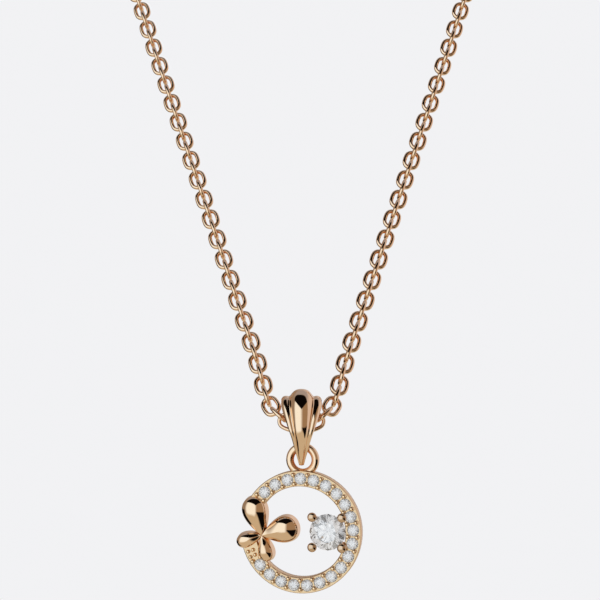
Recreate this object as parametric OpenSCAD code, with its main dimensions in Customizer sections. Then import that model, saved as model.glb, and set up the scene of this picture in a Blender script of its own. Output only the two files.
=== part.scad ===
// A pendant necklace in rose gold: a circle set with small stones, a butterfly and one round
// stone, hung from a fluted bail on a cable chain. Millimetres, +Z up, the front faces -Y.
// The origin is the middle of the clasp, where the loop hangs at the nape.

/* [Chain] */
// Outside length of one link
link_length = 2.7; // [2.68:0.02:2.76]
// Outside width of one link
link_width = 2.13; // [2.05:0.01:2.2]
// Thickness of a link's wire
link_wire = 0.48; // [0.44:0.01:0.48]
// Links from the middle of the front to the clasp, on each side
links_a_side = 142; // [140:2:144]
// Links on each side that are made one by one, before the plain stretch at the neck
front_links = 45; // [25:2:65]

/* [Clasp] */
// Radius of the clasp's ring to the middle of its wire
clasp_r = 2.45; // [2.3:0.05:2.6]
// Thickness of the clasp's wire
clasp_wire = 1.1; // [0.9:0.05:1.2]
// Radius of an eye to the middle of its wire
eye_r = 0.85; // [0.82:0.01:0.9]
// Thickness of an eye's wire
eye_wire = 0.5; // [0.45:0.01:0.5]

/* [Bail] */
// Height of the bail
bail_height = 8.8; // [8.6:0.05:9]
// Depth of the bail from front to back
bail_depth = 5.4; // [5.2:0.05:5.5]
// Height of the bail's top above the chain that it hangs on
bail_rise = 4.05; // [3.9:0.05:4.2]
// Wall of the bail at the middle of its width
bail_wall = 0.45; // [0.4:0.01:0.5]
// Radius of the bail's tip, seen from the side
tip_r = 0.45; // [0.4:0.01:0.5]

/* [Jump ring] */
// Radius of the jump ring to the middle of its wire
jump_r = 1.48; // [1.44:0.01:1.5]
// Thickness of the jump ring's wire
jump_wire = 0.9; // [0.8:0.01:0.9]
// Depth of the jump ring's middle below the chain
jump_drop = 4.06; // [4:0.01:4.1]

/* [Circle] */
// Outside diameter of the circle
circle_d = 14; // [13.8:0.05:14.2]
// Width of the circle's band, seen from the front
band = 1.8; // [1.7:0.01:1.8]
// Thickness of the circle from front to back
circle_t = 1.35; // [1.2:0.05:1.5]
// Depth of the circle's middle below the chain
circle_drop = 12.26; // [12.2:0.01:12.4]
// Turn of the whole pendant about the upright, its right side forward
swivel = 11; // [0:1:15]

/* [Small stones] */
// Diameter of a small stone
pave_d = 1.28; // [1.2:0.01:1.3]
// Number of small stones
pave_count = 20; // [1:1:20]
// Angle from one small stone to the next
pave_step = 14.4; // [14.4:0.1:15]
// Angle of the first small stone, anticlockwise from the right
pave_first = 133.2; // [133:0.1:134]
// Radius of a bead between two stones
bead_r = 0.26; // [0.22:0.01:0.26]

/* [Butterfly] */
// Length of the two upper wings, left and right
upper_wings = [4.5, 4.3]; // [4:0.05:4.6]
// Length of the two lower wings, left and right
lower_wings = [3.05, 3.0]; // [2.8:0.05:3.1]
// Height of the wings' wall, below the edge of the dome
wing_wall = 1.1; // [1:0.05:1.3]

/* [Round stone] */
// Diameter of the round stone
stone_d = 4.15; // [4.1:0.01:4.2]
// Height of its widest line over the middle of the circle
stone_lift = 0.75; // [0.7:0.01:0.9]
// Radius of a prong
prong_r = 0.31; // [0.28:0.01:0.32]
// Radius of the ball at the end of a prong
ball_r = 0.5; // [0.42:0.01:0.5]

/* [Hidden] */
$fn = 48;
rose_gold = [0.86, 0.64, 0.50];
clear_stone = [0.93, 0.94, 0.96];

// Where the chain passes the bail: forward of the clasp and below it
reach = 120;
drop = 108;

// Right half of the chain's route, from the middle of the front round to the clasp: x, y, z
route = [
    [0, -120, -108], [1.5, -119.9, -107.8], [2.7, -119.2, -106.9], [3.7, -118.1, -105.8],
    [5.2, -114.7, -101.1], [7.8, -109.8, -93.7], [11.4, -103.7, -83.5], [15.1, -98, -73.1],
    [18.8, -92.6, -62.6], [22.5, -87.5, -52], [28, -80.5, -38.5], [35.5, -72, -26],
    [44, -60, -15.5], [50.5, -46, -8], [52.5, -30, -3.5], [48.5, -15.5, -1.2],
    [38, -5, -0.3], [22, -0.5, 0], [8, 0, 0], [0, 0, 0]];
curve_steps = 12;

// Half width of the bail: height above the chain, half width
bail_widths = [
    [-4.75, 0.28], [-4.1, 0.46], [-3, 0.8], [-1.8, 1.13], [-0.7, 1.44], [0.5, 1.77],
    [1.6, 2.07], [2.8, 2.32], [3.4, 2.35], [4.05, 2.26]];
// Section across the bail, as shares of its half width: place, drop outside, drop inside
bail_lobes = [
    [0, 0, 0], [0.2, 0.02, 0.01], [0.36, 0.09, 0.04], [0.5, 0.25, 0.15], [0.6, 0.46, 0.38],
    [0.7, 0.405, 0.355], [0.8, 0.39, 0.34], [0.92, 0.44, 0.37], [1, 0.6, 0.48]];
// How much of those drops is used, outside and inside: height above the chain, share
relief_outside = [[-4.75, 0.3], [-3.6, 0.7], [-2, 0.8], [0, 0.85], [1.5, 1], [4.05, 1]];
relief_inside = [[-4.75, 0.25], [-2, 0.4], [0, 0.75], [1.5, 1], [4.05, 1]];
// How much plainer the bail's back is than its front
plain_back = 0.5;
// Side outline of the bail: above its foremost point a flat cheek and a rounder brow, each up to an
// angle of its own, and below it a round belly
cheek_r = 6.7;
cheek_turn = 19;
brow_r = 4.6;
brow_turn = 42;
belly_r = 2.5;
top_parts = 8;
turn_parts = 3;
side_parts = 4;
tip_parts = 6;
// The lower end of its opening: radius, and height above the jump ring's middle
eye_tip_r = 0.7;
eye_tip_lift = 1.2;

// Wings: length, width, height of the dome, angle anticlockwise from the right
wings = [
    [upper_wings[0], 2.76, 0.8, 107.5], [upper_wings[1], 2.98, 0.85, 15.5],
    [lower_wings[0], 1.65, 0.55, 198], [lower_wings[1], 1.7, 0.55, -77]];
wing_root = [-4.48, -0.47];
wing_edge = 0.9;
wing_flare = 0.1;
wing_bulb = 0.62;
// The dome is the top of an oval, cut off at this angle from its pole, and it sinks to the root
dome_cut = 60;
root_fall = 0.8;
wing_points = 24;
dome_rings = 4;

circle_r = circle_d / 2;
circle_front = circle_t / 2;
band_start = -170;
band_end = 152;
band_edge = 0.08;
stone_ring_r = circle_r - band / 2;
jump_shift = 0.15;
bead_rings = [circle_r - 0.45, circle_r - band + 0.31];
bead_lift = 0.09;
seat_gap = 0.05;
seat_rim = 0.3;
girdle_sink = 0.05;
// Four grains between the two lower wings, where the circle has no stone
grain_r = 0.22;
grain_lift = 0.05;
grain_rings = [5.94, 6.55];
grain_angles = [-158.4, -152.6];

stone_at = [3.15, 0.09];
// The prongs lean inwards from the balls at their ends to their feet
ball_out = 2.42;
ball_lift = 0.42;
foot_out = 1.62;
foot_level = -0.85;
// Rails that join the prongs: height, radius to the middle of the wire
rails = [[0.1, 1.7], [-0.6, 1.47]];
rail_wire = 0.46;
// Short bars from the right prongs to the circle
bridge_out = 1.94;
bridge_wire = 0.56;
bridge_length = 1;
bridge_turn = 35;
stone_gap = 0.04;
stone_gap_z = 0.1;

// Proportions of a round cut, as shares of its diameter
table_share = 0.56;
crown_share = 0.15;
crown_corner_share = 0.78;
girdle_share = 0.03;
pavilion_share = 0.42;
pavilion_corner_share = 0.22;

function unit(v) = v / norm(v);
function flip(p) = [-p.x, p.y, p.z];
function between(a, b, ta, tb, t) = ((tb - t) * a + (t - ta) * b) / (tb - ta);
function knot(a, b) = sqrt(norm(b - a));

// A point of the smooth curve from p[1] to p[2], u from 0 to 1
function curve_point(p, u) =
    let (t1 = knot(p[0], p[1]), t2 = t1 + knot(p[1], p[2]), t3 = t2 + knot(p[2], p[3]))
    let (t = t1 + (t2 - t1) * u)
    let (a = between(p[0], p[1], 0, t1, t), b = between(p[1], p[2], t1, t2, t))
    let (c = between(p[2], p[3], t2, t3, t))
    between(between(a, b, 0, t2, t), between(b, c, t1, t3, t), t1, t2, t);

route_last = len(route) - 1;
looped = concat([flip(route[1])], route, [flip(route[route_last - 1])]);
curve = concat(
    [for (i = [0:route_last - 1], k = [0:curve_steps - 1])
        curve_point([for (j = [0:3]) looped[i + j]], k / curve_steps)],
    [route[route_last]]);
curve_last = len(curve) - 1;
dist = [for (i = 0, s = 0; i <= curve_last;
    s = s + norm(curve[min(i + 1, curve_last)] - curve[i]), i = i + 1) s];
half_length = dist[curve_last];
along = [for (axis = [0:2]) [for (i = [0:curve_last]) [dist[i], curve[i][axis]]]];

// Point and direction at a length along the chain, negative on the left side
function chain_at(s) =
    [(s < 0 ? -1 : 1) * lookup(abs(s), along[0]), lookup(abs(s), along[1]), lookup(abs(s), along[2])];
function chain_dir(s, step) = unit(chain_at(s + step / 2) - chain_at(s - step / 2));

// The eyes sink into the clasp's ring by this much
eye_sink = 0.7;
eye_x = clasp_r + clasp_wire / 2 + eye_wire / 2 + eye_r - eye_sink;
eye_clear = 0.1;
last_link_x = eye_x + eye_r - eye_wire / 2 - eye_clear - link_wire + link_length / 2;
link_pitch = (half_length - last_link_x) / links_a_side;
back_gap = 0.15;
back_start = front_links * link_pitch + link_length / 2 + back_gap;
back_end = half_length - eye_x - eye_r - eye_wire / 2 - back_gap;
back_rings = 30;
back_sides = 10;

// Directions across the chain: outwards at the front, turning round the neck to the back
function out_turn(s) = 180 * max(0, (abs(s) - back_start) / (half_length - back_start));
function outwards(s) = [(s < 0 ? -1 : 1) * sin(out_turn(s)), -cos(out_turn(s)), 0];
function chain_normal(s, step) =
    let (d = chain_dir(s, step), o = outwards(s)) unit(o - (o * d) * d);

// A torus about Z
module torus(r, wire, turn = 360) {
    rotate_extrude(angle = turn) translate([r, 0]) circle(d = wire, $fn = 24);
}

// One oval link, its length along Y and flat on XY
module link() {
    straight = link_length - link_width;
    bend_r = (link_width - link_wire) / 2;
    for (end = [0, 180]) rotate([0, 0, end]) {
        translate([0, straight / 2, 0]) torus(bend_r, link_wire, 180);
        translate([bend_r, -straight / 2, 0]) rotate([-90, 0, 0])
            cylinder(h = straight, d = link_wire, $fn = 24);
    }
}

// Puts a link at its number along the chain, each one a quarter turn from the last
module link_place(number) {
    s = number * link_pitch;
    d = chain_dir(s, link_pitch);
    n = chain_normal(s, link_pitch);
    x = cross(d, n);
    p = chain_at(s);
    quarter = (abs(number) % 2 == 0) ? 90 : 0;
    multmatrix([[x.x, d.x, n.x, p.x], [x.y, d.y, n.y, p.y], [x.z, d.z, n.z, p.z], [0, 0, 0, 1]])
        rotate([0, quarter, 0]) children();
}

module chain_front() {
    color(rose_gold) for (number = [-front_links:front_links]) link_place(number) link();
}

// The stretch round the neck, one round bar of the chain's own width on each side
module neck_stretch(side) {
    step = (back_end - back_start) / (back_rings - 1);
    points = [for (i = [0:back_rings - 1], k = [0:back_sides - 1])
        let (s = side * (back_start + i * step), n = chain_normal(s, link_pitch))
        let (x = cross(chain_dir(s, link_pitch), n), a = 360 * k / back_sides)
        chain_at(s) + link_width / 2 * (cos(a) * x + sin(a) * n)];
    around = [for (i = [0:back_rings - 2], k = [0:back_sides - 1])
        let (next = (k + 1) % back_sides, a = i * back_sides, b = (i + 1) * back_sides)
        side > 0 ? [a + k, a + next, b + next, b + k] : [b + k, b + next, a + next, a + k]];
    near = [for (k = [0:back_sides - 1]) side > 0 ? back_sides - 1 - k : k];
    far = [for (k = [0:back_sides - 1])
        (back_rings - 1) * back_sides + (side > 0 ? k : back_sides - 1 - k)];
    polyhedron(points, concat(around, [near], [far]));
}

module chain_back() {
    color(rose_gold) for (side = [-1, 1]) neck_stretch(side);
}

// A plain ring clasp with an eye for the last link on each side
module clasp() {
    color(rose_gold) rotate([90, 0, 0]) {
        torus(clasp_r, clasp_wire);
        for (side = [-1, 1]) translate([side * eye_x, 0, 0]) torus(eye_r, eye_wire);
    }
}

// An arc in the YZ plane from one angle to another. Each entry is a point and its direction
// outwards. A straight run between two entries is drawn by the same steps.
function outline_arc(centre, r, from, to, parts) = [for (i = [0:parts])
    let (a = from + (to - from) * i / parts, out = [cos(a), sin(a)]) [centre + r * out, out]];
function outline_run(a, b, parts) = [for (i = [1:parts - 1]) a + (b - a) * i / parts];
function mirrored(outline) = [for (i = [len(outline) - 1:-1:0])
    [[-outline[i][0].x, outline[i][0].y], [-outline[i][1].x, outline[i][1].y]]];

// Side outline of the bail, moved inwards by a wall: an arc over the chain, then the brow, the
// cheek and the belly, a straight flank and a small arc at the tip
function drop_outline(inset, r_tip, z_tip) =
    let (brow_y = cheek_r - bail_depth / 2 - (cheek_r - brow_r) * cos(cheek_turn))
    let (top_r = brow_r - brow_y / cos(brow_turn), top_z = bail_rise - top_r)
    let (brow_at = [brow_y, top_z - (brow_r - top_r) * sin(brow_turn)])
    let (level = brow_at.y - (cheek_r - brow_r) * sin(cheek_turn))
    let (cheek_at = [cheek_r - bail_depth / 2, level], belly_at = [belly_r - bail_depth / 2, level])
    let (low_r = belly_r - inset, rise = level - z_tip)
    let (lean = asin((low_r - r_tip) / norm([belly_at.x, rise])) - atan2(belly_at.x, rise))
    let (top = outline_arc([0, top_z], top_r - inset, brow_turn, 180 - brow_turn, top_parts))
    let (brow = outline_arc(brow_at, brow_r - inset, 180 - brow_turn, 180 - cheek_turn, turn_parts))
    let (cheek = outline_arc(cheek_at, cheek_r - inset, 180 - cheek_turn, 180, turn_parts))
    let (belly = outline_arc(belly_at, low_r, 180, 180 + lean, turn_parts))
    let (tip = outline_arc([0, z_tip], r_tip, 180 + lean, 360 - lean, tip_parts))
    let (flank = outline_run(belly[turn_parts], tip[0], side_parts))
    let (turns = [for (arc = [brow, cheek, belly], i = [1:turn_parts]) arc[i]])
    let (front = concat(turns, flank))
    concat(top, front, tip, mirrored(front));

module bail() {
    outside = drop_outline(0, tip_r, bail_rise - bail_height + tip_r);
    inside = drop_outline(bail_wall, eye_tip_r, eye_tip_lift - jump_drop);
    lobes = len(bail_lobes) - 1;
    across = concat(
        [for (i = [-lobes:lobes]) [sign(i) * bail_lobes[abs(i)][0], bail_lobes[abs(i)][1], 0]],
        [for (i = [lobes:-1:-lobes]) [sign(i) * bail_lobes[abs(i)][0], bail_lobes[abs(i)][2], 1]]);
    stations = len(outside);
    places = len(across);
    points = [for (i = [0:stations - 1], j = [0:places - 1])
        let (height = outside[i][0].y, half = lookup(height, bail_widths))
        let (plain = plain_back * max(0, outside[i][1].x))
        let (outer = across[j][2] == 0, at = outer ? outside[i] : inside[i])
        let (relief = lookup(height, outer ? relief_outside : relief_inside))
        let (p = at[0] - half * relief * (1 - plain) * across[j][1] * at[1])
        [half * across[j][0], p.x, p.y]];
    faces = [for (i = [0:stations - 1], j = [0:places - 1])
        let (a = i * places, b = ((i + 1) % stations) * places, next = (j + 1) % places)
        each [[a + j, b + next, b + j], [a + j, a + next, b + next]]];
    color(rose_gold) translate([0, -reach, -drop]) polyhedron(points, faces);
}

// A round cut: table, eight stars, eight kites, sixteen upper and sixteen lower halves, eight
// mains. Its widest line is at height 0.
module round_cut(d) {
    r = d / 2;
    half_girdle = girdle_share * d / 2;
    table_r = r * table_share;
    corner_r = r * crown_corner_share;
    low_r = r * pavilion_corner_share;
    table_z = half_girdle + crown_share * d;
    corner_z = half_girdle + (r - corner_r * cos(22.5)) * crown_share * d / (r - table_r);
    culet_z = -half_girdle - pavilion_share * d;
    low_z = -half_girdle - (r - low_r * cos(22.5)) * pavilion_share * d / r;
    points = concat(
        [for (k = [0:7]) [table_r * cos(45 * k), table_r * sin(45 * k), table_z]],
        [for (k = [0:7]) [corner_r * cos(45 * k + 22.5), corner_r * sin(45 * k + 22.5), corner_z]],
        [for (k = [0:15]) [r * cos(22.5 * k), r * sin(22.5 * k), half_girdle]],
        [for (k = [0:15]) [r * cos(22.5 * k), r * sin(22.5 * k), -half_girdle]],
        [for (k = [0:7]) [low_r * cos(45 * k + 22.5), low_r * sin(45 * k + 22.5), low_z]],
        [[0, 0, culet_z]]);
    top = 16;
    bottom = 32;
    low = 48;
    culet = 56;
    faces = concat(
        [[7, 6, 5, 4, 3, 2, 1, 0]],
        [for (k = [0:7]) let (n = (k + 1) % 8) [k, n, 8 + k]],
        [for (k = [0:7]) let (p = 8 + (k + 7) % 8) each [[k, 8 + k, top + 2 * k], [k, top + 2 * k, p]]],
        [for (k = [0:7]) let (m = top + 2 * k + 1)
            each [[8 + k, m, m - 1], [8 + k, top + (2 * k + 2) % 16, m]]],
        [for (k = [0:15]) let (n = (k + 1) % 16)
            each [[top + k, top + n, bottom + n], [top + k, bottom + n, bottom + k]]],
        [for (k = [0:7]) let (m = bottom + 2 * k + 1)
            each [[low + k, m - 1, m], [low + k, m, bottom + (2 * k + 2) % 16]]],
        [for (k = [0:7]) let (p = low + (k + 7) % 8)
            each [[culet, bottom + 2 * k, low + k], [culet, p, bottom + 2 * k]]]);
    polyhedron(points, faces);
}

// Stands the pendant up: what is drawn flat and face up hangs below the bail, facing the front
module hung() {
    translate([0, -reach, -drop - circle_drop]) rotate([0, 0, -swivel]) rotate([90, 0, 0])
        children();
}

module pave_place(number) {
    rotate([0, 0, pave_first - pave_step * (number - 1)]) translate([stone_ring_r, 0, 0]) children();
}

// The circle is open behind the butterfly, which closes it
module circle_band() {
    inner = circle_r - band;
    rotate([0, 0, band_start]) rotate_extrude(angle = band_end - band_start, $fn = 96) polygon([
        [inner, band_edge - circle_front], [inner + band_edge, -circle_front],
        [circle_r - band_edge, -circle_front], [circle_r, band_edge - circle_front],
        [circle_r, circle_front - band_edge], [circle_r - band_edge, circle_front],
        [inner + band_edge, circle_front], [inner, circle_front - band_edge]]);
}

module stone_seats() {
    seat_r = pave_d / 2 + seat_gap;
    depth = seat_r * pavilion_share * 2 + seat_gap;
    for (number = [1:pave_count]) pave_place(number) {
        translate([0, 0, circle_front - girdle_sink - depth]) cylinder(h = depth, r1 = 0, r2 = seat_r);
        translate([0, 0, circle_front - girdle_sink]) cylinder(h = seat_rim, r = seat_r);
    }
}

module beads() {
    for (number = [0:pave_count], r = bead_rings)
        rotate([0, 0, pave_first - pave_step * (number - 0.5)])
            translate([r, 0, circle_front + bead_lift]) sphere(bead_r, $fn = 20);
    for (a = grain_angles, r = grain_rings)
        rotate([0, 0, a]) translate([r, 0, circle_front + grain_lift]) sphere(grain_r, $fn = 16);
}

// Share of the dome's height that is left on the way from the root, at 0, to the bulb, at 1
function root_share(way) = pow(max(0, sin(90 * min(1, way))), root_fall);

// One drop-shaped wing: a wall that flares to the back, and a dome over it. Its outline starts
// at the meeting point, and sin(u) sin(u/2) is 0.77 at its widest, hence the width's divisor.
module wing(w) {
    bulb = wing_bulb * w[0];
    widest = 1.54;
    outline = [for (i = [0:wing_points - 1]) let (u = 360 * i / wing_points)
        [w[0] * (1 - cos(u)) / 2 - bulb, -w[1] / widest * sin(u) * sin(u / 2)]];
    foot = 1 + 2 * wing_flare / w[1];
    points = concat(
        [for (p = outline) [foot * p.x + bulb, foot * p.y, wing_edge - wing_wall]],
        [for (k = [0:dome_rings - 1], p = outline) let (a = dome_cut * (1 - k / dome_rings))
            let (size = sin(a) / sin(dome_cut), x = size * p.x + bulb)
            let (rise = (cos(a) - cos(dome_cut)) / (1 - cos(dome_cut)) * root_share(x / bulb))
            [x, size * p.y, wing_edge + w[2] * rise]],
        [[bulb, 0, wing_edge + w[2]]]);
    n = wing_points;
    top = (dome_rings + 1) * n;
    faces = concat(
        [[for (i = [0:n - 1]) i]],
        [for (k = [0:dome_rings - 1], i = [0:n - 1]) let (a = k * n, b = a + n, next = (i + 1) % n)
            each [[a + i, b + i, b + next], [a + i, b + next, a + next]]],
        [for (i = [0:n - 1]) [top - n + i, top, top - n + (i + 1) % n]]);
    translate([wing_root.x, wing_root.y, 0]) rotate([0, 0, w[3]]) polyhedron(points, faces);
}

// Four prongs on two rails, bridged to the circle on the right
module basket() {
    rise = stone_lift + ball_lift - foot_level;
    lean = atan2(ball_out - foot_out, rise);
    translate([stone_at.x, stone_at.y, 0]) {
        for (a = [45:90:315]) rotate([0, 0, a]) {
            translate([foot_out, 0, foot_level]) rotate([0, lean, 0])
                cylinder(h = rise / cos(lean), r = prong_r, $fn = 24);
            translate([ball_out, 0, stone_lift + ball_lift]) sphere(ball_r, $fn = 32);
        }
        for (rail = rails) translate([0, 0, rail[0]]) torus(rail[1], rail_wire);
        for (side = [-1, 1]) rotate([0, 0, side * 45]) translate([bridge_out, 0, 0])
            rotate([0, 0, -side * bridge_turn]) rotate([0, 90, 0])
                cylinder(h = bridge_length, d = bridge_wire, $fn = 24);
    }
}

// The room that the round stone takes in its prongs, a little wider than the stone
module stone_room() {
    r = stone_d / 2 + stone_gap;
    crown = r * crown_share * 2 / (1 - table_share);
    pavilion = r * pavilion_share * 2;
    translate([stone_at.x, stone_at.y, stone_lift]) {
        translate([0, 0, -stone_gap_z - pavilion]) cylinder(h = pavilion, r1 = 0, r2 = r);
        translate([0, 0, -stone_gap_z]) cylinder(h = 2 * stone_gap_z, r = r);
        translate([0, 0, stone_gap_z]) cylinder(h = crown, r1 = r, r2 = 0);
    }
}

module pendant_frame() {
    color(rose_gold) hung() {
        difference() {
            union() {
                circle_band();
                translate([jump_shift, circle_drop - jump_drop, 0]) torus(jump_r, jump_wire);
            }
            stone_seats();
        }
        beads();
        for (w = wings) wing(w);
        difference() {
            basket();
            stone_room();
        }
    }
}

module small_stone(number) {
    color(clear_stone) hung() pave_place(number)
        translate([0, 0, circle_front - girdle_sink]) round_cut(pave_d);
}

module round_stone() {
    color(clear_stone) hung() translate([stone_at.x, stone_at.y, stone_lift]) round_cut(stone_d);
}

chain_front();
chain_back();
clasp();
bail();
pendant_frame();
round_stone();
for (i = [1:pave_count]) small_stone(i);
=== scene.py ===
# %% [markdown]
# # A rose gold pendant necklace
#
# The necklace hangs as it would on a neck: a fine cable chain goes round behind, its two sides
# meet at the front in a fluted bail, and the pendant hangs from the bail. The CAD model fixes
# every size and place. This notebook gives each piece its finish, and models again the pieces
# whose CAD surfaces are too coarse for polished metal, which shows every facet.

# %% Load the frame
import math

import bmesh
import bpy
from mathutils import Matrix, Vector


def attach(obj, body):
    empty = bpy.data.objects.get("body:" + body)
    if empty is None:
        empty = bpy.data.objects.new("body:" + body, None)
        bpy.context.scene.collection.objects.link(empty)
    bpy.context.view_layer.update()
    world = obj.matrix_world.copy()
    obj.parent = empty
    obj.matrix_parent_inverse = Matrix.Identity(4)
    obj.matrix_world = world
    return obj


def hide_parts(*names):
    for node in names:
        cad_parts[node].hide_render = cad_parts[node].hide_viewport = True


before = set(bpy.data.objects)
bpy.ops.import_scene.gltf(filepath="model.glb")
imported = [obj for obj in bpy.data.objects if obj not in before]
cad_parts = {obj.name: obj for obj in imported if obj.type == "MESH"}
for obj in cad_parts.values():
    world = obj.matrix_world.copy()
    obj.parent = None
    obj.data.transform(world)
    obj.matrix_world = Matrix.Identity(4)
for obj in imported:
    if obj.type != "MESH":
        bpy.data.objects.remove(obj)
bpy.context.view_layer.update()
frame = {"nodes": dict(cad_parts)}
nodes = frame["nodes"]
scene = bpy.context.scene
MM = 0.001

# %% [markdown]
# ## Camera
#
# The photo is taken level, straight at the jewel, from so near that the chain visibly draws
# together as it goes back. A lens of about 92 mm at 175 mm from the pendant gives the same drawing:
# the pitch of the links in the picture told the distance.

# %% Camera
# How far before the nape, and how far below it, the front of the chain hangs
REACH = 120 * MM
DROP = 108 * MM
CAMERA_DISTANCE = 175 * MM
CAMERA_SIDE = -0.17 * MM
CAMERA_HEIGHT = -93.81 * MM
LENS = 91.8
FILM_WIDTH = 36
NEAREST = 10 * MM

camera_data = bpy.data.cameras.new("camera")
camera_data.lens = LENS
camera_data.sensor_width = FILM_WIDTH
camera_data.clip_start = NEAREST
camera = bpy.data.objects.new("camera", camera_data)
camera.location = (CAMERA_SIDE, -REACH - CAMERA_DISTANCE, CAMERA_HEIGHT)
camera.rotation_euler = (math.radians(90), 0, 0)
scene.collection.objects.link(camera)
scene.camera = camera
scene.view_settings.view_transform = "Standard"
print("camera at", [round(x, 4) for x in camera.location])

# %% [markdown]
# ## Floor and backdrop
#
# A product photographer stands a jewel before one sheet of paper that curves up from the table,
# so no edge shows behind it. Here the sheet starts as one edge along the floor, seen from the
# side. Its far end is spun through a quarter turn for the curve, and one more edge goes up from
# there. This bent line is then drawn out sideways.

# %% Floor and backdrop
# In metres, Blender's own unit
FLOOR_Z = -0.32
FLOOR_FRONT = -1.6
CURVE_START = 0.75
CURVE_R = 0.45
CURVE_PARTS = 24
WALL_TOP = 1.6
HALF_WIDTH = 1.8


def new_piece(name, made, smooth_angle=None):
    """An object from a bmesh. Edges flatter than the angle, in degrees, are shaded as smooth."""
    mesh = bpy.data.meshes.new(name)
    made.to_mesh(mesh)
    made.free()
    if smooth_angle is not None:
        mesh.shade_smooth()
        mesh.set_sharp_from_angle(angle=math.radians(smooth_angle))
    piece = bpy.data.objects.new(name, mesh)
    scene.collection.objects.link(piece)
    return piece


sheet = bmesh.new()
first = sheet.verts.new((0, FLOOR_FRONT, FLOOR_Z))
second = sheet.verts.new((0, CURVE_START, FLOOR_Z))
sheet.edges.new((first, second))
curve = bmesh.ops.spin(
    sheet, geom=[second], cent=(0, CURVE_START, FLOOR_Z + CURVE_R), axis=(1, 0, 0),
    angle=math.radians(90), steps=CURVE_PARTS, use_merge=False)
last = [v for v in curve["geom_last"] if isinstance(v, bmesh.types.BMVert)][0]
top = sheet.verts.new((0, last.co.y, WALL_TOP))
sheet.edges.new((last, top))
bmesh.ops.translate(sheet, verts=sheet.verts, vec=(-HALF_WIDTH, 0, 0))
grown = bmesh.ops.extrude_edge_only(sheet, edges=sheet.edges)
bmesh.ops.translate(
    sheet, vec=(2 * HALF_WIDTH, 0, 0),
    verts=[v for v in grown["geom"] if isinstance(v, bmesh.types.BMVert)])
floor = new_piece("floor", sheet, smooth_angle=40)
print("floor faces:", len(floor.data.polygons))

# %% [markdown]
# ## Shader maths
#
# Every plus or minus in a shader is a Math node of its own, so node trees soon get long. One small
# class stands for a socket here and lets Python's own signs add those nodes. A formula is then
# written for a shader as it is for numbers.

# %% Shader maths
class Wire:
    """One output socket, on which + - * / work."""

    def __init__(self, nodes, socket):
        self.nodes = nodes
        self.socket = socket

    def __add__(self, other):
        return self.nodes.math("ADD", self, other)

    __radd__ = __add__

    def __mul__(self, other):
        return self.nodes.math("MULTIPLY", self, other)

    __rmul__ = __mul__

    def __sub__(self, other):
        return self.nodes.math("SUBTRACT", self, other)

    def __rsub__(self, other):
        return self.nodes.math("SUBTRACT", other, self)

    def __truediv__(self, other):
        return self.nodes.math("DIVIDE", self, other)

    def __abs__(self):
        return self.nodes.math("ABSOLUTE", self, 0.0)

    def above(self, edge, softness):
        """A share that goes softly from 0 to 1 as the value passes the edge."""
        return self.nodes.math("ADD", (self - edge) / softness, 0.5, clamped=True)


print("signs that add Math nodes: + - * / and abs")

# %% [markdown]
# ## Node trees
#
# A second class is one tree. Its `node` method adds any node: first its settings, such as the
# kind of sum, and then the values or links of its sockets. The other methods add the few kinds of
# node that the finishes and the studio need again and again.

# %% Node trees
# A Mix node has sockets for numbers and vectors too, so those for colours are found by number
COLOUR_A = 6
COLOUR_B = 7
COLOUR_OUT = 2


class Nodes:
    """One node tree."""

    def __init__(self, tree):
        self.tree = tree

    def put(self, socket, value):
        """Links a wire to a socket, or sets a plain value on it."""
        if isinstance(value, Wire):
            self.tree.links.new(value.socket, socket)
        else:
            socket.default_value = value

    def node(self, kind, settings, sockets, output=0):
        """Adds a node. The wire is from the named or numbered output."""
        made = self.tree.nodes.new(kind)
        for name, value in settings.items():
            setattr(made, name, value)
        for name, value in sockets.items():
            self.put(made.inputs[name], value)
        return Wire(self, made.outputs[output])

    def math(self, operation, a, b, clamped=False):
        return self.node(
            "ShaderNodeMath", {"operation": operation, "use_clamp": clamped}, {0: a, 1: b})

    def coordinates(self, kind):
        return self.node("ShaderNodeTexCoord", {}, {}, kind)

    def noise(self, size, detail=2.0, roughness=0.5):
        """Soft noise whose blotches are about `size` metres across."""
        return self.node("ShaderNodeTexNoise", {}, {
            "Vector": self.coordinates("Object"), "Scale": 1 / size,
            "Detail": detail, "Roughness": roughness}, "Fac")

    def blend(self, share, a, b):
        """One colour to another, by a share from 0 to 1."""
        return self.node(
            "ShaderNodeMix", {"data_type": "RGBA"}, {0: share, COLOUR_A: a, COLOUR_B: b}, COLOUR_OUT)

    def bump(self, height, distance, strength):
        return self.node(
            "ShaderNodeBump", {}, {"Height": height, "Distance": distance, "Strength": strength})


print("a Mix node's colours are at sockets", COLOUR_A, "and", COLOUR_B)

# %% [markdown]
# ## Finishes
#
# A finish is one material, so it is a tree with one surface shader in it. What is the same all
# over the piece is set on the shader itself, and only what varies is linked from other nodes. The
# first finish is made here to show what a new one holds, and the next cell turns it into paper.

# %% Finishes
class Finish(Nodes):
    """One material."""

    def __init__(self, name):
        self.material = bpy.data.materials.new(name)
        self.material.use_nodes = True
        super().__init__(self.material.node_tree)

    def set(self, **sockets):
        """Sets sockets of the surface shader. An underscore stands for a space."""
        for name, value in sockets.items():
            self.put(self.tree.nodes["Principled BSDF"].inputs[name.replace("_", " ")], value)
        return self.material


paper = Finish("paper")
print("a new finish has the nodes:", [made.name for made in paper.tree.nodes])

# %% [markdown]
# ## Paper
#
# The sheet shines with its own pale colour and takes no shadow, as paper does when it is lit from
# behind, and the metal doesn't mirror it. A broad, faint grain keeps it from being one flat colour.

# %% Paper
PAPER_GRAIN = 30 * MM
PAPER_DEEP = (0.883, 0.885, 0.902, 1)
PAPER_PALE = (0.889, 0.889, 0.905, 1)


def grey(level):
    return (level, level, level, 1)


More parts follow.
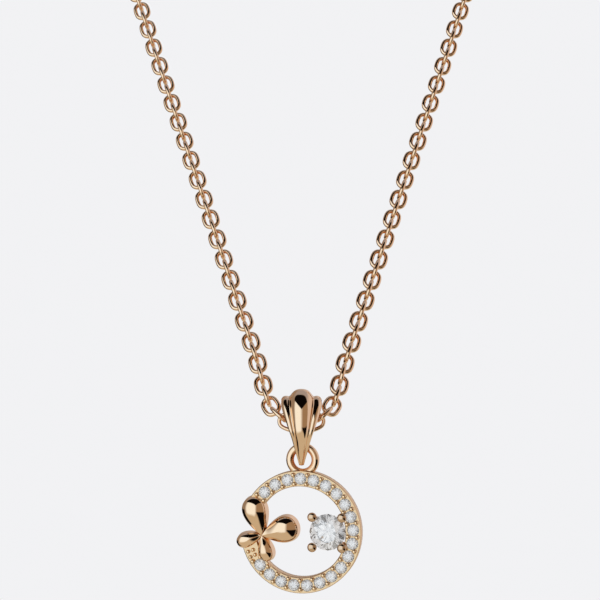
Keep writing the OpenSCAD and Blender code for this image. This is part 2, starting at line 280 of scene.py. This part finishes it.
grain = paper.noise(PAPER_GRAIN)
floor.data.materials.append(paper.set(
    Base_Color=grey(0.0), Roughness=1.0, Specular_IOR_Level=0.0, Emission_Strength=1.0,
    Emission_Color=paper.blend(grain, PAPER_DEEP, PAPER_PALE)))
floor.visible_glossy = False
floor.visible_diffuse = False
print("paper nodes:", len(paper.tree.nodes))

# %% [markdown]
# ## Rose gold
#
# The metal is gold with copper in it, polished like a mirror, so nearly all its looks are the
# studio that it reflects. What is its own is the warm tint, and a polisher's faint traces: a
# gloss that varies a little from place to place, and a hint of waviness. Three copies have painted
# light in their tint: the darker gold of the prong balls is painted dark reflection, the deeper
# orange gold of the insides is painted reflection between the parts, and the pale gold of the
# seats is painted light in their shade.

# %% Rose gold
CLOUD_SIZE = 0.9 * MM
WIPE_SIZE = 0.12 * MM
WIPE_DEPTH = 0.05
WAVE_HEIGHT = 0.02 * MM
WAVE_STRENGTH = 0.1


def rose_gold(name, tint, deep_tint, gloss):
    """Polished rose gold. The gloss is the lowest roughness."""
    metal = Finish(name)
    clouds = metal.noise(CLOUD_SIZE, detail=3.0)
    wipes = metal.noise(WIPE_SIZE, detail=2.0)
    return metal.set(
        Base_Color=metal.blend(clouds, deep_tint, tint),
        Metallic=1.0,
        Roughness=gloss + WIPE_DEPTH * clouds * wipes,
        Normal=metal.bump(clouds, WAVE_HEIGHT, WAVE_STRENGTH))


GOLD = rose_gold("rose_gold", (0.92, 0.68, 0.47, 1), (0.90, 0.64, 0.43, 1), 0.03)
BAND_GOLD = rose_gold("rose_gold_band", (0.80, 0.57, 0.35, 1), (0.75, 0.52, 0.30, 1), 0.22)
BEAD_GOLD = rose_gold("rose_gold_beads", (0.97, 0.72, 0.46, 1), (0.95, 0.68, 0.42, 1), 0.10)
# The prong balls' darker tint is painted dark reflection: it stands in for the black that the balls
# mirror
BALL_GOLD_PAINTED_DARK = rose_gold("rose_gold_balls_painted_dark", (0.72, 0.52, 0.36, 1), (0.68, 0.48, 0.32, 1), 0.02)
# The seats' pale tint is painted light, which lifts the shade deep in the seats below the stones
SEAT_GOLD_PAINTED_LIGHT = rose_gold("seat_gold_painted_light", (0.95, 0.87, 0.73, 1), (0.92, 0.83, 0.68, 1), 0.35)
# The insides' deeper orange tint is painted reflection, the glow of gold mirrored in gold between the
# parts
INNER_GOLD_PAINTED_REFLECTION = rose_gold("rose_gold_inside_painted_reflection", (0.84, 0.48, 0.28, 1), (0.78, 0.42, 0.22, 1), 0.28)
LINK_GOLD = rose_gold("rose_gold_links", (0.93, 0.67, 0.46, 1), (0.90, 0.62, 0.40, 1), 0.05)
print("metal finishes:", GOLD.name, LINK_GOLD.name)

# %% [markdown]
# ## Colourless stones
#
# A cut stone is clear and bends light strongly, so that each facet shows a different bit of the
# studio, some bright and some dark. That comes from the facets in the mesh and from the high
# refractive index. The colour only has a trace of grey cloud in it.

# %% Colourless stones
STONE_INDEX = 2.35
HAZE_SIZE = 0.5 * MM
HAZE = 0.02


def clear_stone(name, clearness):
    """A clear stone, which lets this share of the light through, with a trace of haze."""
    stone = Finish(name)
    haze = stone.noise(HAZE_SIZE, detail=1.0)
    return stone.set(
        Base_Color=stone.blend(haze, grey(clearness - HAZE), grey(clearness + HAZE)),
        Roughness=0.0,
        IOR=STONE_INDEX,
        Transmission_Weight=1.0)


STONE = clear_stone("clear_stone", 0.89)
SMALL_STONE = clear_stone("small_clear_stone", 0.875)


def dress(piece, material):
    """Gives a piece or a CAD node one material."""
    piece.data.materials.clear()
    piece.data.materials.append(material)


for node_name, node in nodes.items():
    clear = SMALL_STONE if "small" in node_name else STONE
    dress(node, clear if "stone" in node_name else GOLD)
print("stone finishes:", STONE.name, SMALL_STONE.name, "on", len(nodes), "nodes with the metal")

# %% [markdown]
# ## The way of the chain
#
# A chain hangs in one smooth curve. Its way is the CAD model's own list of points for the right
# half, in millimetres, from the middle of the front to the middle of the back. A curve that passes
# through each point joins them, and the left half is its mirror image.

# %% The way of the chain
ROUTE = [Vector(p) * MM for p in (
    (0, -120, -108), (1.5, -119.9, -107.8), (2.7, -119.2, -106.9), (3.7, -118.1, -105.8),
    (5.2, -114.7, -101.1), (7.8, -109.8, -93.7), (11.4, -103.7, -83.5), (15.1, -98, -73.1),
    (18.8, -92.6, -62.6), (22.5, -87.5, -52), (28, -80.5, -38.5), (35.5, -72, -26),
    (44, -60, -15.5), (50.5, -46, -8), (52.5, -30, -3.5), (48.5, -15.5, -1.2),
    (38, -5, -0.3), (22, -0.5, 0), (8, 0, 0), (0, 0, 0))]
CURVE_STEPS = 12


def flip(point):
    """The same point in the other half."""
    return Vector((-point.x, point.y, point.z))


def between(a, b, ta, tb, t):
    """The point that moves evenly from a to b as t goes from ta to tb."""
    return ((tb - t) * a + (t - ta) * b) / (tb - ta)


def curve_point(p, u):
    """A point of the smooth curve from p[1] to p[2], for u from 0 to 1."""
    knots = [0.0]
    for a, b in zip(p, p[1:]):
        knots.append(knots[-1] + math.sqrt((b - a).length / MM))
    t0, t1, t2, t3 = knots
    t = t1 + (t2 - t1) * u
    a = between(p[0], p[1], t0, t1, t)
    b = between(p[1], p[2], t1, t2, t)
    c = between(p[2], p[3], t2, t3, t)
    return between(between(a, b, t0, t2, t), between(b, c, t1, t3, t), t1, t2, t)


looped = [flip(ROUTE[1])] + ROUTE + [flip(ROUTE[-2])]
way = [curve_point(looped[i:i + 4], k / CURVE_STEPS)
       for i in range(len(ROUTE) - 1) for k in range(CURVE_STEPS)] + [ROUTE[-1]]
lengths = [0.0]
for here, there in zip(way, way[1:]):
    lengths.append(lengths[-1] + (there - here).length)
half_length = lengths[-1]
print("chain, mm:", round(2 * half_length / MM, 1), "points on each half:", len(way))

# %% [markdown]
# ## Places of the links
#
# Links sit at even steps along the way, each a quarter turn from the last, so that one can hold the
# next. Their flat side turns from the front round to the back of the neck. Each place is one
# matrix, which is worked out from the curve's direction there.

# %% Places of the links
LINK_LENGTH = 2.7 * MM
LINKS_A_SIDE = 142
FRONT_LINKS = 45
# How far from the middle of the back the last link on each side hangs, in an eye of the clasp
LAST_LINK_X = 4.77 * MM
# Room between the last link of the front stretch and the start of the back stretch
BACK_GAP = 0.15 * MM

pitch = (half_length - LAST_LINK_X) / LINKS_A_SIDE
back_start = FRONT_LINKS * pitch + LINK_LENGTH / 2 + BACK_GAP


def chain_at(s):
    """The point at a length along the chain from its middle, negative on the left side."""
    reach = min(abs(s), half_length)
    i = max(k for k in range(len(lengths) - 1) if lengths[k] <= reach)
    share = (reach - lengths[i]) / (lengths[i + 1] - lengths[i])
    point = way[i].lerp(way[i + 1], share)
    return flip(point) if s < 0 else point


def link_matrix(number):
    """The place and turn of a link: its length along Y and its flat side facing Z."""
    s = number * pitch
    along = (chain_at(s + pitch / 2) - chain_at(s - pitch / 2)).normalized()
    turn = math.radians(180) * max(0, (abs(s) - back_start) / (half_length - back_start))
    outwards = Vector((math.copysign(1, s) * math.sin(turn), -math.cos(turn), 0))
    face = (outwards - outwards.dot(along) * along).normalized()
    side = along.cross(face)
    quarter = 0 if number % 2 else math.radians(90)
    turned = Matrix((side, along, face)).transposed().to_4x4()
    return Matrix.Translation(chain_at(s)) @ turned @ Matrix.Rotation(quarter, 4, "Y")


print("links on each side:", LINKS_A_SIDE, "pitch, mm:", round(pitch / MM, 3))

# %% [markdown]
# ## One link
#
# A link is a round wire bent into an oval and soldered. One circle is spun into a ring, and the
# ring's two halves are pulled apart to get the straight sides. The wire has only six sides, because
# a Subdivision Surface rounds it later. That draws a coarse wire in, so it is made a little
# thicker. The links behind the neck have fewer parts than those in front.

# %% One link
LINK_WIDTH = 2.13 * MM
WIRE = 0.48 * MM
WIRE_SIDES = 6
WIRE_SWELL = 1.17
FRONT_PARTS = 14
BACK_PARTS = 12
# Points nearer together than this are one point
TOUCHING = 0.0001 * MM


def tidy(made):
    """Merges doubles and turns every face outwards."""
    bmesh.ops.remove_doubles(made, verts=made.verts, dist=TOUCHING)
    bmesh.ops.recalc_face_normals(made, faces=made.faces)


def link_mesh(parts):
    """One oval link of this many parts: its length along Y, flat on XY."""
    ring = bmesh.new()
    bend_r = (LINK_WIDTH - WIRE) / 2
    bmesh.ops.create_circle(
        ring, segments=WIRE_SIDES, radius=WIRE / 2 * WIRE_SWELL,
        matrix=Matrix.Translation((bend_r, 0, 0)) @ Matrix.Rotation(math.radians(90), 4, "X"))
    bmesh.ops.rotate(
        ring, verts=ring.verts, cent=(0, 0, 0), matrix=Matrix.Rotation(math.pi / parts, 3, "Z"))
    bmesh.ops.spin(
        ring, geom=ring.verts[:] + ring.edges[:], cent=(0, 0, 0), axis=(0, 0, 1),
        angle=math.radians(360), steps=parts, use_merge=True)
    tidy(ring)
    # The faces round the inside of the ring take the piece's second finish, whose deeper orange tint is
    # painted reflection between the links
    for face in ring.faces:
        centre = face.calc_center_median()
        face.material_index = int(math.hypot(centre.x, centre.y) < bend_r - WIRE / 8)
    straight = (LINK_LENGTH - LINK_WIDTH) / 2
    for vert in ring.verts:
        vert.co.y += math.copysign(straight, vert.co.y)
    mesh = bpy.data.meshes.new("link")
    ring.to_mesh(mesh)
    ring.free()
    return mesh


front_link = link_mesh(FRONT_PARTS)
back_link = link_mesh(BACK_PARTS)
print("faces of a link:", len(front_link.polygons), "in front,", len(back_link.polygons), "behind")

# %% [markdown]
# ## The chain
#
# Hundreds of links as objects of their own would be slow. The one small ring is copied to every
# link's place in one mesh instead, and a single Subdivision Surface rounds them all at once. The
# links that are clear of the bail and the clasp are made 8% larger, because they look fuller in
# the photo.

# %% The chain
LINK_GROWTH = 1.08
# The links up to this number on each side keep their size, to stay clear of the bail
AT_BAIL = 2


def round_off(piece, levels):
    """Adds a Subdivision Surface."""
    rounding = piece.modifiers.new("rounding", "SUBSURF")
    rounding.levels = levels
    rounding.render_levels = levels


def chain_piece(name, numbers, link):
    """Copies of a link at these numbers along the chain, as one piece."""
    chain = bmesh.new()
    for number in numbers:
        old = len(chain.verts)
        chain.from_mesh(link)
        chain.verts.ensure_lookup_table()
        growth = LINK_GROWTH if AT_BAIL < abs(number) < LINKS_A_SIDE else 1
        bmesh.ops.transform(
            chain, matrix=link_matrix(number) @ Matrix.Scale(growth, 4), verts=chain.verts[old:])
    piece = new_piece(name, chain, smooth_angle=180)
    round_off(piece, 1)
    dress(piece, LINK_GOLD)
    # The second finish paints the orange reflection inside each link
    piece.data.materials.append(INNER_GOLD_PAINTED_REFLECTION)
    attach(piece, "necklace")
    return piece


front_chain = chain_piece("front_chain", range(-FRONT_LINKS, FRONT_LINKS + 1), front_link)
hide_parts("chain_front")
back_numbers = range(FRONT_LINKS + 1, LINKS_A_SIDE + 1)
back_chain = chain_piece(
    "back_chain", [n * side for side in (-1, 1) for n in back_numbers], back_link)
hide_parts("chain_back")
print("links:", 2 * LINKS_A_SIDE + 1, "cage faces:", len(front_chain.data.polygons))

# %% [markdown]
# ## The CAD's solids with smooth shading
#
# A CAD node's mesh is loose triangles, which are right for a cut stone but give polished metal a
# facet at every triangle. A copy whose doubles are merged can be shaded smoothly, with edges
# sharper than a given angle kept crisp. The copy then stands for the node.

# %% Smooth copies
def merged_copy(node_name):
    """A bmesh of a CAD node with its triangles joined."""
    made = bmesh.new()
    made.from_mesh(nodes[node_name].data)
    bmesh.ops.remove_doubles(made, verts=made.verts, dist=TOUCHING)
    return made


def stand_in(name, made, node_name, body, smooth_angle):
    """Puts a finer mesh in the place of a CAD node."""
    piece = new_piece(name, made, smooth_angle)
    dress(piece, GOLD)
    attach(piece, body)
    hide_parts(node_name)
    return piece


ring_clasp = stand_in("ring_clasp", merged_copy("clasp"), "clasp", "necklace", smooth_angle=35)
print("clasp triangles:", len(ring_clasp.data.polygons))

# %% [markdown]
# ## Places on the pendant
#
# A pendant is drawn and built lying flat, face up, with the circle's middle as its zero. So are the
# places here, and one matrix hangs what was drawn flat below the bail. They are the CAD's own
# sizes, which the next cells need to find each part of the soldered metal.

# %% Places on the pendant
# How far the circle's middle hangs below the chain's middle link, and how far the pendant is turned
CIRCLE_DROP = 12.26 * MM
SWIVEL = math.radians(11)
HUNG = (
    Matrix.Translation((0, -REACH, -DROP - CIRCLE_DROP)) @ Matrix.Rotation(-SWIVEL, 4, "Z")
    @ Matrix.Rotation(math.radians(90), 4, "X"))

# Each wing's length, width and height of the dome in millimetres, and its angle in degrees,
# anticlockwise from the right
WINGS = {
    "upper_left": (4.5, 2.76, 0.8, 107.5), "upper_right": (4.3, 2.98, 0.85, 15.5),
    "lower_left": (3.05, 1.65, 0.55, 198), "lower_right": (3.0, 1.7, 0.55, -77)}
WING_ROOT = Vector((-4.48, -0.47, 0)) * MM
# Twice the largest value of sin(t) * sin(t / 2), which brings a drop to its named width
WIDEST = 1.54

# The circle's flat band. Its own metal is higher than the band's front only at the beads
BAND_INNER = 5.17 * MM
BAND_OUTER = 7.02 * MM
BAND_FRONT = 0.685 * MM
# The seats, counted clockwise, with angles like those of the wings
SEAT_TOP = 0.66 * MM
SEAT_RING_R = 6.1 * MM
SEAT_R = 0.7 * MM
SEAT_COUNT = 20
SEAT_FIRST = 133.2
SEAT_STEP = 14.4
# The round stone's middle, and the balls at the ends of its prongs
STONE_AT = Vector((3.15, 0.09, 0)) * MM
BALL_OUT = 2.42 * MM
BALL_ROOM = 0.56 * MM
BALL_HEIGHT = 1.17 * MM
# The middle of the jump ring, and the reach of its inner side
JUMP_AT = Vector((0.15, 8.2, 0)) * MM
JUMP_INSIDE = 1.38 * MM


def on_ring(angle, radius, height):
    """A place on the flat pendant, at an angle in degrees and a radius from the circle's middle."""
    return Matrix.Rotation(math.radians(angle), 3, "Z") @ Vector((radius, 0, height))


SEATS = [on_ring(SEAT_FIRST - SEAT_STEP * n, SEAT_RING_R, 0) for n in range(SEAT_COUNT)]
print("circle's middle, mm:", [round(x / MM, 2) for x in HUNG.translation], "seats:", len(SEATS))

# %% [markdown]
# ## Where each finish lies
#
# The circle, its beads, the basket and the butterfly are soldered, so they are one solid. On the
# real jewel the setter's tools leave the beads and the band between the stones with a soft shine,
# and only the wings, prongs and jump ring are polished like a mirror. Two finishes are painted
# light: the seats' pale gold lifts their shade, and the deeper orange gold inside the jump ring is
# painted reflection. A finish can therefore be told from the place alone, on the pendant as it
# was drawn, flat and face up.

# %% Where each finish lies
# A margin round the outline of a wing
WING_MARGIN = 0.012 * MM


def on_wing(point):
    """Whether a point of the flat pendant lies within the outline of a wing."""
    for length, width, dome, angle in WINGS.values():
        local = (Matrix.Rotation(math.radians(-angle), 3, "Z") @ (point - WING_ROOT)) / MM
        turn = math.acos(max(-1.0, min(1.0, 1 - 2 * local.x / length)))
        half = width / WIDEST * math.sin(turn) * math.sin(turn / 2)
        if local.x > 0 and abs(local.y) < half + WING_MARGIN / MM:
            return True
    return False


def near_ball(point):
    """Whether a point of the flat pendant belongs to the ball at the end of a prong."""
    place = point - STONE_AT
    corner = BALL_OUT * math.sqrt(0.5)
    return math.hypot(abs(place.x) - corner, abs(place.y) - corner) < BALL_ROOM


def metal_finish(point):
    """The finish at a point of the flat pendant."""
    out = math.hypot(point.x, point.y)
    # The inside of the jump ring takes a deeper orange gold, which is painted reflection
    if out > BAND_OUTER and (point - JUMP_AT).to_2d().length < JUMP_INSIDE:
        return INNER_GOLD_PAINTED_REFLECTION
    if not BAND_INNER < out < BAND_OUTER or near_ball(point) or on_wing(point):
        return GOLD
    if point.z > BAND_FRONT:
        return BEAD_GOLD
    # Inside a seat the paler gold is painted light, which lifts the shade under the stone
    in_seat = any((point - seat).to_2d().length < SEAT_R for seat in SEATS)
    return SEAT_GOLD_PAINTED_LIGHT if in_seat and point.z < SEAT_TOP else BAND_GOLD


print("finish inside the first seat:", metal_finish(SEATS[0]).name)

# %% [markdown]
# ## Metal of the pendant
#
# Each face of the soldered metal takes the finish of its place. The CAD's coarse wings and prong
# ends are pressed flat in this copy, to hide below the smooth ones that the next cells make.

# %% Metal of the pendant
# The height that the coarse wings are pressed down to
PRESSED = 0.72 * MM
FLAT_COS = math.cos(math.radians(1))

soldered = merged_copy("pendant_frame")
laid_flat = HUNG.inverted()
for vert in soldered.verts:
    flat = laid_flat @ vert.co
    if flat.z > PRESSED and on_wing(flat):
        vert.co = HUNG @ Vector((flat.x, flat.y, PRESSED))
    elif flat.z > BALL_HEIGHT and near_ball(flat):
        vert.co = HUNG @ Vector((flat.x, flat.y, BALL_HEIGHT))
frame_metal = stand_in("frame_metal", soldered, "pendant_frame", "pendant", smooth_angle=32)
finishes = [GOLD, BAND_GOLD, BEAD_GOLD, SEAT_GOLD_PAINTED_LIGHT, INNER_GOLD_PAINTED_REFLECTION]
for finish in finishes[1:]:
    frame_metal.data.materials.append(finish)
for face in frame_metal.data.polygons:
    face.material_index = finishes.index(metal_finish(laid_flat @ face.center))
    # A face that lies quite flat is shaded flat, so that its bevelled neighbours don't tilt it
    if abs((laid_flat.to_3x3() @ face.normal).z) > FLAT_COS:
        face.use_smooth = False
for index, finish in enumerate(finishes):
    print(finish.name, "triangles:", sum(f.material_index == index for f in frame_metal.data.polygons))

# %% [markdown]
# ## Balls and beads
#
# A jeweller rounds the end of each prong with a cup tool, which leaves it a little flatter than a
# ball, and raises a bead of metal on both sides of every small stone with a hollow punch. Each
# shows the whole studio in small, so the CAD's coarse facets are covered with fine spheres, a hair
# larger, and those on the prongs are squeezed in depth. Each kind is one mesh.

# %% Balls and beads
BALL_R = 0.5 * MM
BEAD_R = 0.26 * MM
BEAD_HEIGHT = 0.765 * MM
BEAD_RINGS = (6.55 * MM, 5.51 * MM)
# The four small grains on the stretch of the band that has no stones
GRAIN_R = 0.22 * MM
GRAIN_HEIGHT = 0.725 * MM
GRAIN_RINGS = (5.94 * MM, 6.55 * MM)
GRAIN_ANGLES = (-158.4, -152.6)
BALL_COVER = 1.08
BALL_DEPTH = 0.7
BALL_PARTS = 36
BEAD_COVER = 1.1
BEAD_PARTS = 18


def spheres(name, places, depth, parts, material):
    """One piece of spheres. Each place is a centre on the flat pendant and a radius."""
    made = bmesh.new()
    for centre, radius in places:
        bmesh.ops.create_uvsphere(
            made, u_segments=parts, v_segments=parts * 2 // 3, radius=radius,
            matrix=HUNG @ Matrix.Translation(centre) @ Matrix.Diagonal((1, 1, depth, 1)))
    piece = new_piece(name, made, smooth_angle=60)
    dress(piece, material)
    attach(piece, "pendant")
    print(name, len(places), "faces:", len(piece.data.polygons))


# The balls' darker gold is painted dark reflection, standing in for the black that they mirror
spheres("prong_balls", [
    (STONE_AT + on_ring(corner, BALL_OUT, BALL_HEIGHT), BALL_R * BALL_COVER)
    for corner in (45, 135, 225, 315)], BALL_DEPTH, BALL_PARTS, BALL_GOLD_PAINTED_DARK)
bead_places = [
    (on_ring(SEAT_FIRST - SEAT_STEP * (n - 0.5), ring, BEAD_HEIGHT), BEAD_R * BEAD_COVER)
    for n in range(SEAT_COUNT + 1) for ring in BEAD_RINGS]
grain_places = [
    (on_ring(angle, ring, GRAIN_HEIGHT), GRAIN_R * BEAD_COVER)
    for angle in GRAIN_ANGLES for ring in GRAIN_RINGS]
spheres("setting_beads", bead_places + grain_places, 1, BEAD_PARTS, BEAD_GOLD)

# %% [markdown]
# ## Small stones
#
# A setter presses each small stone down until its edge touches the metal. The CAD leaves a hair of
# room there, which would show as a black ring, so each stone is made a little larger here, about
# its own middle.

# %% Small stones
STONE_GROWTH = 1.05

for number in range(1, SEAT_COUNT + 1):
    cut = merged_copy(f"small_stone_{number}")
    middle = sum((vert.co for vert in cut.verts), Vector()) / len(cut.verts)
    grown = Matrix.Translation(middle) @ Matrix.Scale(STONE_GROWTH, 4) @ Matrix.Translation(-middle)
    bmesh.ops.transform(cut, matrix=grown, verts=cut.verts)
    set_stone = new_piece(f"set_stone_{number}", cut)
    dress(set_stone, SMALL_STONE)
    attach(set_stone, "pendant")
    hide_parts(f"small_stone_{number}")
print("small stones:", SEAT_COUNT, "facets each:", len(set_stone.data.polygons))

# %% [markdown]
# ## Bail
#
# The bail's three lobes flow into one another with no edge. The CAD solid holds its section in
# straight strips, so its triangles are joined back to four-sided faces, and a Subdivision
# Surface draws the lobes round through them.

# %% Bail
lobes = merged_copy("bail")
bmesh.ops.join_triangles(
    lobes, faces=lobes.faces, angle_face_threshold=math.radians(60),
    angle_shape_threshold=math.radians(60))
fluted_bail = stand_in("fluted_bail", lobes, "bail", "bail", smooth_angle=180)
round_off(fluted_bail, 2)
print("bail faces:", len(fluted_bail.data.polygons))

# %% [markdown]
# ## Domes of the butterfly
#
# Each wing is a drop with a high polished dome. It starts as a ball of which only a cap is kept.
# The cap is drawn out to the wing's tip and root, and pulling its sides in towards the root makes
# the drop. Its dome sinks on the way to the root, where the four wings meet at a point.

# %% Domes of the butterfly
# How high the dome's rim lies above the flat pendant's middle
WING_EDGE = 0.9 * MM
# Where the dome has its top, as a share of the length from the root
WING_BULB = 0.62
# How much of the ball is kept, as an angle from its pole
DOME_CUT = math.radians(60)
# The power by which the dome sinks to the root. A smaller one keeps it high for longer
ROOT_FALL = 0.8
SPOKES = 56
RINGS = 48
# The ball's radius is 1, and its points that are nearer together than this are one
AT_POLE = 1e-6


def wing_dome(length, width, dome):
    """The top of one wing, face up, with its root at zero and its tip on the X axis."""
    made = bmesh.new()
    bmesh.ops.create_uvsphere(made, u_segments=SPOKES, v_segments=RINGS, radius=1)
    bmesh.ops.bisect_plane(
        made, geom=made.verts[:] + made.edges[:] + made.faces[:], dist=AT_POLE,
        plane_co=(0, 0, math.cos(DOME_CUT)), plane_no=(0, 0, 1), clear_inner=True)
    bulb = WING_BULB * length
    for vert in made.verts:
        # The ball's ring about its pole, and where on that ring, from -1 at the root to 1 at the tip
        ball_ring = math.hypot(vert.co.x, vert.co.y)
        turn = vert.co.x / ball_ring if ball_ring > AT_POLE else 0
        ring = ball_ring / math.sin(DOME_CUT)
        pinch = math.sqrt(max(0.0, (1 + turn) / 2))
        x = bulb * (1 - ring) + (1 + turn) * ring * length / 2
        sunk = max(0.0, math.sin(math.radians(90) * min(1.0, x / bulb))) ** ROOT_FALL
        rise = (vert.co.z - math.cos(DOME_CUT)) / (1 - math.cos(DOME_CUT)) * sunk
        vert.co = Vector((
            x, vert.co.y / math.sin(DOME_CUT) * width / WIDEST * pinch, WING_EDGE + rise * dome))
    return made


domes = {name: wing_dome(length * MM, width * MM, dome * MM)
         for name, (length, width, dome, angle) in WINGS.items()}
print("faces of each dome:", {name: len(made.faces) for name, made in domes.items()})

# %% [markdown]
# ## Walls of the butterfly
#
# Below its dome a wing has an upright wall, which flares a little towards its foot. The dome's rim
# is extruded down for it. The edge between the two is bevelled, so that a thin bright line runs
# round the dome as on the real one.

# %% Walls of the butterfly
WING_WALL = 1.1 * MM
WING_FLARE = 0.1 * MM
RIM_BEVEL = 0.055 * MM
# The smooth wing is this much larger than the CAD's, so that it covers it
SKIN = 1.006


def finish_wing(made, length, width, angle):
    """Adds the wall to a dome, and hangs the wing in its place."""
    bulb = WING_BULB * length
    rim = [e for e in made.edges if e.is_boundary]
    wall = bmesh.ops.extrude_edge_only(made, edges=rim)
    low = [v for v in wall["geom"] if isinstance(v, bmesh.types.BMVert)]
    for vert in low:
        vert.co.x = bulb + (vert.co.x - bulb) * (1 + 2 * WING_FLARE / width)
        vert.co.y *= 1 + 2 * WING_FLARE / width
        vert.co.z -= WING_WALL
    bmesh.ops.holes_fill(made, edges=[e for e in made.edges if e.is_boundary])
    tidy(made)
    sharp = [e for e in made.edges if len(e.link_faces) == 2
             and all(abs(v.co.z - WING_EDGE) < TOUCHING for v in e.verts)]
    bmesh.ops.bevel(
        made, geom=sharp, offset=RIM_BEVEL, offset_type="OFFSET", affect="EDGES", segments=2,
        profile=0.5, material=-1, clamp_overlap=True)
    placed = HUNG @ Matrix.Translation(WING_ROOT) @ Matrix.Rotation(math.radians(angle), 4, "Z")
    about = Matrix.Translation((bulb, 0, 0)) @ Matrix.Scale(SKIN, 4) @ Matrix.Translation((-bulb, 0, 0))
    bmesh.ops.transform(made, matrix=placed @ about, verts=made.verts)
    tidy(made)


for wing_name, (length, width, dome, angle) in WINGS.items():
    finish_wing(domes[wing_name], length * MM, width * MM, angle)
    wing = new_piece("wing_" + wing_name, domes[wing_name], smooth_angle=35)
    dress(wing, GOLD)
    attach(wing, "pendant")
    print(wing.name, "faces:", len(wing.data.polygons))

# %% [markdown]
# ## Studio
#
# Polished gold shows the room itself, so the light is a room and not a few lamps: a square one
# seen towards its corner. A World shader draws this room from the direction alone. It works out how
# far a ray goes towards the right and the left wall. How high on its wall the ray ends is its rise
# divided by its reach towards that wall.

# %% Studio
TURN = math.radians(45.5)
FRONT_TURN = math.radians(13)
# Each pair says where a part of the room begins, and how softly
CORNER = (0, 0.42)
FRONT = (0.085, 0.1)

world = bpy.data.worlds.new("studio")
world.use_nodes = True
scene.world = world
room = Nodes(world.node_tree)
direction = room.node("ShaderNodeSeparateXYZ", {}, {0: room.coordinates("Generated")})
x, y, z = [Wire(room, socket) for socket in direction.socket.node.outputs]

to_right = math.sin(TURN) * x - math.cos(TURN) * y
to_left = -math.cos(TURN) * x - math.sin(TURN) * y
reach = room.math("MAXIMUM", abs(to_right), abs(to_left))
height = z / reach
on_right = (to_right - to_left).above(*CORNER)
in_front = (0 - math.cos(FRONT_TURN) * y - math.sin(FRONT_TURN) * x).above(*FRONT)
print("nodes for the directions:", len(room.tree.nodes))

# %% [markdown]
# ## Walls
#
# In front of the jewel the wall on the left is bright, and brown at its far end. The wall on the
# right is tan. The half behind the jewel starts at a plane that is turned a little. It is brown on
# the left, pale on the right and greyer high up. Low down, the walls pass into a sandy floor.

# %% Walls
CREAM = (1.05, 1.19, 1.29, 1)
BROWN = (0.32, 0.26, 0.21, 1)
TAN = (0.36, 0.26, 0.17, 1)
BACK_RIGHT = (0.74, 0.67, 0.66, 1)
BACK_HIGH = (0.40, 0.39, 0.44, 1)
FLOOR = (0.62, 0.56, 0.44, 1)
FAR_LEFT = (0.75, 0.5)
BACK_SIDE = (0, 0.6)
BACK_TOP = (1.2, 1.2)
FLOOR_EDGE = (0.42, 0.3)

left_wall = room.blend((0 - to_right / reach).above(*FAR_LEFT), CREAM, BROWN)
front_walls = room.blend(on_right, left_wall, TAN)
back_low = room.blend(x.above(*BACK_SIDE), BROWN, BACK_RIGHT)
back_walls = room.blend(height.above(*BACK_TOP), back_low, BACK_HIGH)
walls = room.blend(in_front, back_walls, front_walls)
with_floor = room.blend((0 - height).above(*FLOOR_EDGE), walls, FLOOR)
print("nodes with the walls:", len(room.tree.nodes))

# %% [markdown]
# ## Black parts
#
# Metal looks polished by the black that it mirrors, so a photographer hangs black card round a
# jewel. Here the ceiling over the front half is black with a crisp edge, and so are a slanting part
# low on the near side of the right wall, and a corner low down behind on the left.

# %% Black parts
BLACK = (0.004, 0.003, 0.003, 1)
CEILING = (1.0, 0.06)
CARD_TOP = (0.06, 0.08)
CARD_BOTTOM = (-1.2, 0.3)
CARD_SIDE = (-1.0, 0.25)
CARD_LEAN = 0.95
LOW_CORNER_SIDE = (0.5, 0.3)
LOW_CORNER_TOP = (0.1, 0.1)

under_top = (0 - height).above(*CARD_TOP)
over_bottom = height.above(*CARD_BOTTOM)
past_side = (CARD_LEAN * height - to_left / reach).above(*CARD_SIDE)
card = on_right * in_front * under_top * past_side * over_bottom
low_corner = (0 - x).above(*LOW_CORNER_SIDE) * (1 - in_front) * (0 - height).above(*LOW_CORNER_TOP)
with_cards = room.blend(room.math("MAXIMUM", card, low_corner), with_floor, BLACK)
with_ceiling = room.blend(height.above(*CEILING) * in_front, with_cards, BLACK)
print("nodes with the black parts:", len(room.tree.nodes))

# %% [markdown]
# ## What the stones and the camera see
#
# Inside a clear stone the room's colours would look like tinted glass, so the rays that pass through
# stones see the room without its colours, partly mixed with the plain light of a tent of tracing
# paper. The camera itself never sees the room: past the floor and the backdrop it sees plain paper,
# from any side.

# %% What the stones and the camera see
TENT = 0.36
TENT_LIGHT = (0.70, 0.69, 0.69, 1)
PAPER_LIGHT = (0.88, 0.88, 0.895, 1)

through_stone = room.node("ShaderNodeLightPath", {}, {}, "Is Transmission Ray")
straight = room.node("ShaderNodeLightPath", {}, {}, "Is Camera Ray")
colourless = room.node("ShaderNodeRGBToBW", {}, {0: with_ceiling})
in_tent = room.blend(TENT, colourless, TENT_LIGHT)
reflected = room.blend(through_stone, with_ceiling, in_tent)
background = room.tree.nodes["Background"]
room.put(background.inputs["Color"], room.blend(straight, reflected, PAPER_LIGHT))
room.put(background.inputs["Strength"], 1.0)
print("nodes of the whole studio:", len(room.tree.nodes))
